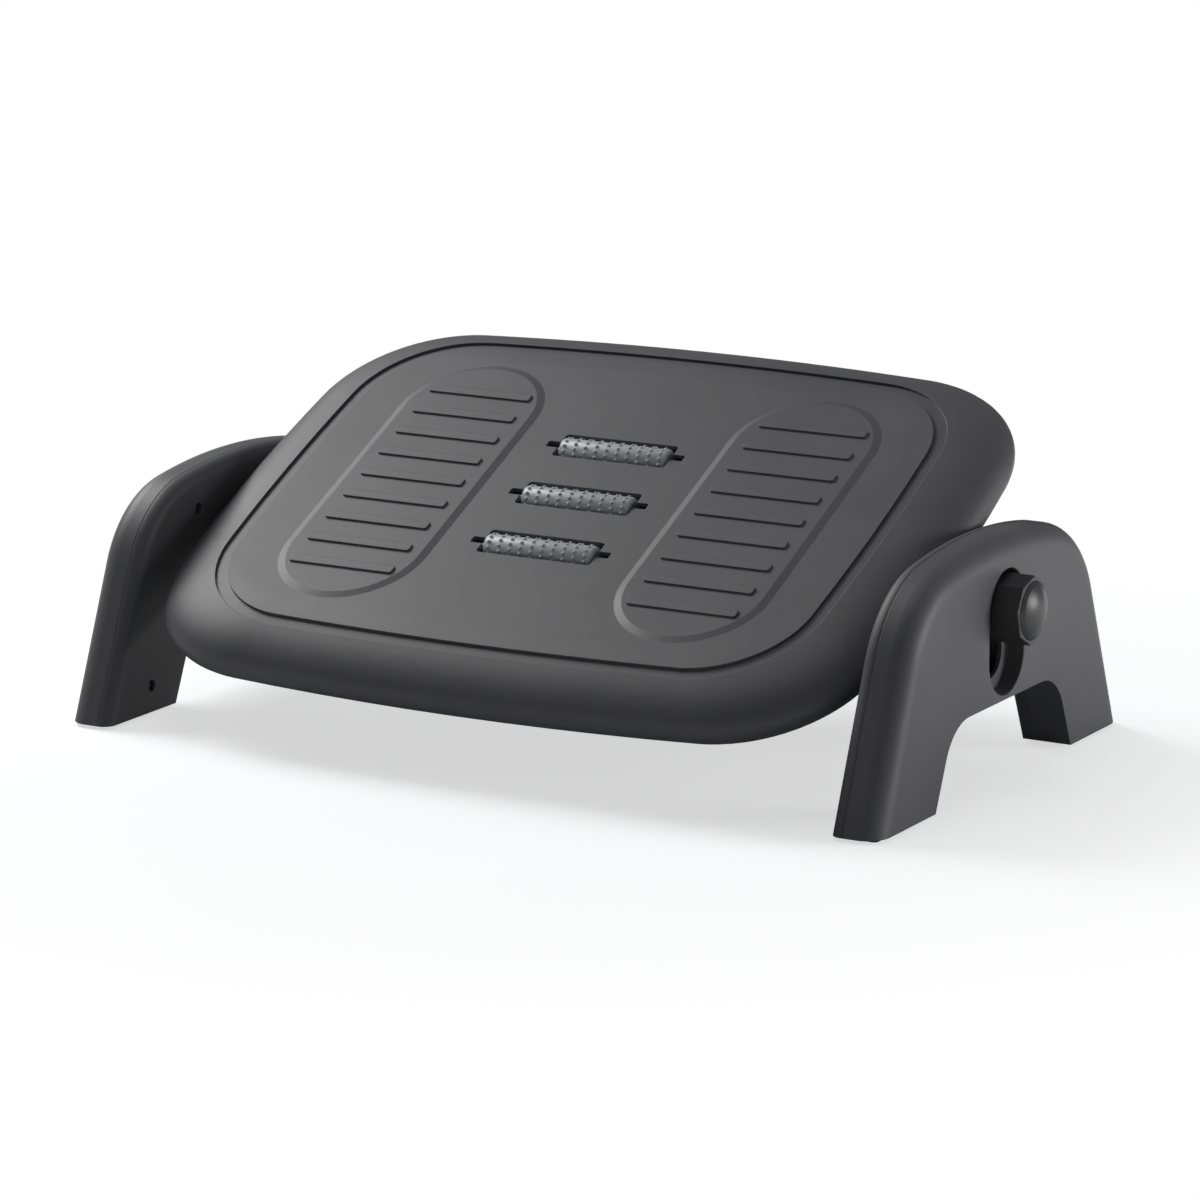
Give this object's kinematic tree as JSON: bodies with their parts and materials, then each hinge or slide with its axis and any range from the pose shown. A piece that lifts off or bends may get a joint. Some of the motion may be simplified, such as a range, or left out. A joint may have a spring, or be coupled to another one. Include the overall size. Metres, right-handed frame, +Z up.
{
  "type": "tilting under desk footrest",
  "caption": "Tilting under desk footrest: a pillow-edged platform with ribbed foot pads and massage rollers, set at several heights between arched legs.",
  "frame": {"origin": "middle of the footprint on the floor, under the platform's centre", "axes": "X across the footrest to its right, Y from the user's side to the rear, Z up"},
  "size_m": [0.562, 0.3138, 0.1958],
  "materials": {
    "platform_plastic": "fine matte texture",
    "pan_plastic": "matte",
    "leg_plastic": "fine matte texture",
    "cover_plastic": "matte",
    "hub_plastic": "matte",
    "button_plastic": "satin",
    "inner_plastic": "matte",
    "slide_plastic": "slippery natural acetal",
    "roller_plastic": "matte",
    "rubber_feet": "matte",
    "steel": "zinc plated"
  },
  "bodies": {
    "legs": {"leg_shell_left": "leg_plastic", "leg_shell_right": "leg_plastic", "leg_cover_left": "cover_plastic", "leg_cover_right": "cover_plastic", "leg_screws_left": "steel", "leg_screws_right": "steel", "foot_pads_left": "rubber_feet", "foot_pads_right": "rubber_feet"},
    "height_slide": {"slide_block_left": "slide_plastic", "slide_block_right": "slide_plastic", "friction_washer_left": "slide_plastic", "friction_washer_right": "slide_plastic"},
    "platform": {"tread_top": "platform_plastic", "under_pan": "pan_plastic", "roller_tray": "inner_plastic", "pan_screws": "steel", "tray_screws": "steel", "bracket_screws_left": "steel", "bracket_screws_right": "steel", "pivot_bracket_left": "inner_plastic", "pivot_bracket_right": "inner_plastic", "pivot_bolt_left": "steel", "pivot_bolt_right": "steel", "pivot_nut_left": "steel", "pivot_nut_right": "steel", "lock_hub_left": "hub_plastic", "lock_hub_right": "hub_plastic", "return_spring_left": "steel", "return_spring_right": "steel", "roller_axle_front": "steel", "roller_axle_middle": "steel", "roller_axle_rear": "steel"},
    "button_left": {"height_button_left": "button_plastic"},
    "button_right": {"height_button_right": "button_plastic"},
    "roller_front": {"massage_roller_front": "roller_plastic"},
    "roller_middle": {"massage_roller_middle": "roller_plastic"},
    "roller_rear": {"massage_roller_rear": "roller_plastic"}
  },
  "joints": [
    {"name": "height_adjust", "type": "slide", "parent": "legs", "child": "height_slide", "axis": [0, 0, 1], "range_m": [-0.027, 0]},
    {"name": "platform_tilt", "type": "hinge", "parent": "height_slide", "child": "platform", "pos_m": [0, 0.0037, 0.0983], "axis": [1, 0, 0], "range_deg": [-51.2, 0]},
    {"name": "spin_front", "type": "hinge", "parent": "platform", "child": "roller_front", "pos_m": [0, -0.05379, 0.11067], "axis": [1, 0, 0], "continuous": true},
    {"name": "spin_middle", "type": "hinge", "parent": "platform", "child": "roller_middle", "pos_m": [0, -0.01185, 0.13077], "axis": [1, 0, 0], "continuous": true},
    {"name": "spin_rear", "type": "hinge", "parent": "platform", "child": "roller_rear", "pos_m": [0, 0.03008, 0.15086], "axis": [1, 0, 0], "continuous": true},
    {"name": "press_left", "type": "slide", "parent": "platform", "child": "button_left", "axis": [1, 0, 0], "range_m": [0, 0.005], "stiffness_N_per_m": 400, "springref_m": -0.005, "deforming": ["return_spring_left"]},
    {"name": "press_right", "type": "slide", "parent": "platform", "child": "button_right", "axis": [-1, 0, 0], "range_m": [0, 0.005], "stiffness_N_per_m": 400, "springref_m": -0.005, "deforming": ["return_spring_right"]}
  ]
}
